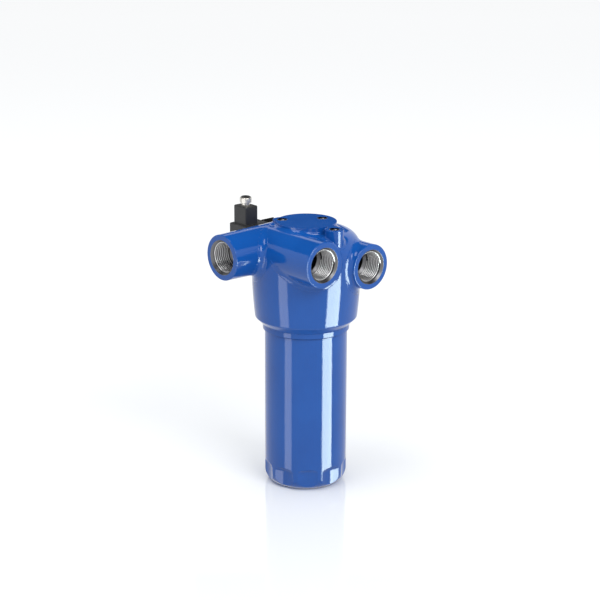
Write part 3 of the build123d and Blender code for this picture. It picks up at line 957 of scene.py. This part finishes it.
@dataclass
class Studio:
    """White glossy floor with painted shade round the filter, white surroundings, dark cloths and soft
    boxes round the filter.
    """

    world_strength: float = 0.90
    world_colour: Colour = (0.96, 0.98, 1.0)
    # painted shade: floor colour near the filter, fading out to far_colour
    painted_shade_colour: Colour = (0.86, 0.87, 0.88)
    far_colour: Colour = (0.98, 0.98, 0.98)
    painted_shade_ends: Ends = (0.3, 0.9)
    floor_size: float = 14.0
    floor_cloud: float = 0.4
    floor_roughness: float = 0.05
    floor_cloud_roughness: float = 0.02
    floor_gloss: float = 1.0
    cloth_colours: tuple[Colour, Colour] = ((0.01, 0.01, 0.012), (0.02, 0.02, 0.022))
    cloth_roughness: float = 0.9
    dome_radius: float = 5.0
    dome_edge: float = 33.0
    flag_distance: float = 0.5
    flag_rise: float = 0.128
    flag_width: float = 0.30
    flag_height: float = 0.11
    boxes: tuple[SoftBox, ...] = (
        SoftBox("right_strip", 62, -18, 2.2, 1.12, 1.15, 76, (0.84, 1.0, 0.94)),
        SoftBox("left_strip", -50, -18, 2.2, 0.75, 1.15, 9),
        SoftBox("front_box", 35, 38, 2.4, 1.4, 1.0, 28),
        SoftBox("top_box", -60, 70, 2.4, 1.0, 1.0, 14),
    )

    def build(self, azimuth: float) -> None:
        """Sets the studio up.

        Args:
            azimuth: the camera's azimuth in degrees.
        """
        self._surroundings()
        self._floor()
        self._ceiling()
        self._flag(azimuth + 180)
        for box in self.boxes:
            box.hang(azimuth)

    def _surroundings(self) -> None:
        """Makes the world white to the camera and in reflections, and a soft light elsewhere."""
        world = bpy.data.worlds.new("studio_world")
        bpy.context.scene.world = world
        world.use_nodes = True
        nodes = Nodes(world.node_tree)
        path = nodes.node("ShaderNodeLightPath")
        camera, glossy, through = (
            Value(nodes, path.outputs[ray])
            for ray in ("Is Camera Ray", "Is Glossy Ray", "Is Transmission Ray")
        )
        clamped_sum = {"operation": "ADD", "use_clamp": True}
        seen = nodes.value("ShaderNodeMath", clamped_sum, {0: camera + glossy, 1: through})
        soft = nodes.value(
            "ShaderNodeBackground", None, {"Color": self.world_colour, "Strength": self.world_strength}
        )
        white = nodes.value("ShaderNodeBackground", None, {"Color": (1.0, 1.0, 1.0)})
        mixed = nodes.value("ShaderNodeMixShader", None, {0: seen, 1: soft, 2: white})
        nodes.node("ShaderNodeOutputWorld", None, {"Surface": mixed})

    def _floor(self) -> None:
        """Lays the floor under the bowl's base, with painted shade that greys it near the filter."""
        shader = Shader("studio_floor")
        cloud = shader.noise(shader.place(), self.floor_cloud, 2.0)
        # painted shade: the floor greys towards the filter's axis
        far = shader.ramp(shader.distance((0, 0, 0), Vector((0, 0, 1))), self.painted_shade_ends)
        shader.set(
            base_color=shader.blend(far, self.painted_shade_colour, self.far_colour),
            roughness=self.floor_roughness + self.floor_cloud_roughness * cloud,
            specular_ior_level=self.floor_gloss,
        )
        mesh = bmesh.new()
        bmesh.ops.create_grid(mesh, x_segments=1, y_segments=1, size=self.floor_size / 2)
        piece = make_piece("studio_floor", mesh, shader.material)
        piece.visible_glossy = False
        piece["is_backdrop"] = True

    def _ceiling(self) -> None:
        """Hangs a dark dome high over the filter."""
        mesh = bmesh.new()
        bmesh.ops.create_uvsphere(mesh, u_segments=48, v_segments=36, radius=self.dome_radius)
        edge = self.dome_radius * math.sin(math.radians(self.dome_edge))
        geometry = [*mesh.verts, *mesh.edges, *mesh.faces]
        bmesh.ops.bisect_plane(
            mesh, geom=geometry, plane_co=(0, 0, edge), plane_no=(0, 0, 1), clear_inner=True
        )
        self._dark_cloth("studio_ceiling", mesh)

    def _flag(self, azimuth: float) -> None:
        """Stands a small dark card where the filter's flat top mirrors it.

        Args:
            azimuth: degrees round the filter.
        """
        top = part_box(Head.node)[1].z
        away = heading(azimuth, 0)
        mesh = bmesh.new()
        bmesh.ops.create_grid(mesh, x_segments=1, y_segments=1, size=0.5)
        bmesh.ops.scale(mesh, vec=(self.flag_width, self.flag_height, 1), verts=mesh.verts)
        stand(mesh, away * self.flag_distance + Vector((0, 0, top + self.flag_rise)), away)
        self._dark_cloth("studio_flag", mesh)

    def _dark_cloth(self, name: str, mesh: bmesh.types.BMesh) -> None:
        """Hangs a dark cloth that only reflections see.

        Args:
            name: the cloth's name.
            mesh: its shape.
        """
        shader = Shader(name)
        cloud = shader.noise(shader.place(), 1.0, 2.0)
        colour = shader.blend(cloud, *self.cloth_colours)
        shader.set(base_color=colour, roughness=self.cloth_roughness)
        piece = make_piece(name, mesh, shader.material)
        piece.visible_camera = False
        piece.visible_diffuse = False
        piece.visible_shadow = False
        piece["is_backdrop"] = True


@dataclass
class Camera:
    """Long-lens camera a little above the filter, in front and to the left."""

    azimuth: float = -41.79
    elevation: float = 16.84
    roll: float = 0.17
    distance: float = 1.7647
    lens: float = 105.85
    sensor: float = 36.0
    clip_ends: Ends = (0.05, 60.0)
    target: tuple[float, float, float] = (0.0026, 0.0120, 0.1852)

    def build(self) -> None:
        """Adds the camera and makes it the scene's."""
        data = bpy.data.cameras.new("camera")
        data.lens = self.lens
        data.sensor_width = self.sensor
        data.clip_start, data.clip_end = self.clip_ends
        camera = bpy.data.objects.new("camera", data)
        bpy.context.scene.collection.objects.link(camera)
        back = heading(self.azimuth, self.elevation)
        camera.location = Vector(self.target) + back * self.distance
        camera.rotation_mode = "QUATERNION"
        turn = (-back).to_track_quat("-Z", "Y")
        camera.rotation_quaternion = turn @ Quaternion((0, 0, 1), math.radians(self.roll))
        bpy.context.scene.camera = camera


# --- Scene --------------------------------------------------------------------------------
def main() -> None:
    """Builds the sub-assemblies, the studio and the camera in order."""
    finishes = Finishes()
    head = Head()
    head.dress()
    for assembly in (Bowl, BypassValve, FilterElement, ClogIndicator, Connector, CableGland):
        assembly().dress(finishes)
    pieces = head.threads(finishes[Finish.CUT_THREAD])
    pieces.append(head.blends(finishes[Finish.ENAMEL]))
    for piece in pieces:
        log.info("built %s with %d faces", piece.name, len(piece.data.polygons))
    camera = Camera()
    Studio().build(camera.azimuth)
    camera.build()
    bpy.context.scene.view_settings.view_transform = "Standard"


if __name__ == "__main__":
    main()
